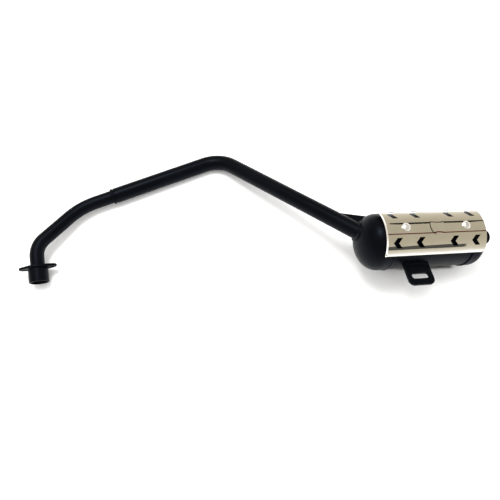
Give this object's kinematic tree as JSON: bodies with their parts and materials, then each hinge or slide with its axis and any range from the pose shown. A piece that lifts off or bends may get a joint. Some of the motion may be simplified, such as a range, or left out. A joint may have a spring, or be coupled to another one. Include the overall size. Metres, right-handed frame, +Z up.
{
  "type": "exhaust system",
  "caption": "Bent steel exhaust with a loose bolt-on port flange, a domed muffler with tail pipe, a slotted hanger tab and a polished heat shield.",
  "frame": {"origin": "centre of the bounding box, on the flat floor that the system lies on", "axes": "+X from the engine flange towards the muffler outlet, +Z up as it lies on a floor with the heat shield on top, +Y towards the bulge of the main tube"},
  "size_m": [0.7499, 0.2736, 0.1226],
  "materials": {
    "black_paint": "satin black heat-proof paint",
    "polished_steel": "mirror-polished stainless steel",
    "screw_steel": "bright plated steel",
    "bare_steel": "plain mild steel",
    "glass_fibre": "matted glass fibre"
  },
  "bodies": {
    "exhaust": {"port_collar": "black_paint", "collar_weld": "black_paint", "header_pipe": "black_paint", "joint_weld": "black_paint", "main_pipe": "black_paint", "front_cap": "black_paint", "rear_cap": "black_paint", "muffler_shell": "black_paint", "front_seam_weld": "black_paint", "rear_seam_weld": "black_paint", "tail_pipe": "black_paint", "tail_weld": "black_paint", "inlet_weld": "black_paint", "gusset_plate": "black_paint", "mount_bracket": "black_paint", "bracket_welds": "black_paint", "front_baffle": "bare_steel", "rear_baffle": "bare_steel", "perforated_core": "bare_steel", "shield_bosses": "bare_steel", "glass_packing": "glass_fibre", "heat_shield": "polished_steel", "shield_screws": "screw_steel"},
    "flange": {"port_flange": "black_paint"}
  },
  "joints": [
    {"name": "flange_turn", "type": "hinge", "parent": "exhaust", "child": "flange", "pos_m": [-0.34653, -0.08547, 0.0205], "axis": [-0.1773, 0.9534, 0.2442], "continuous": true}
  ]
}
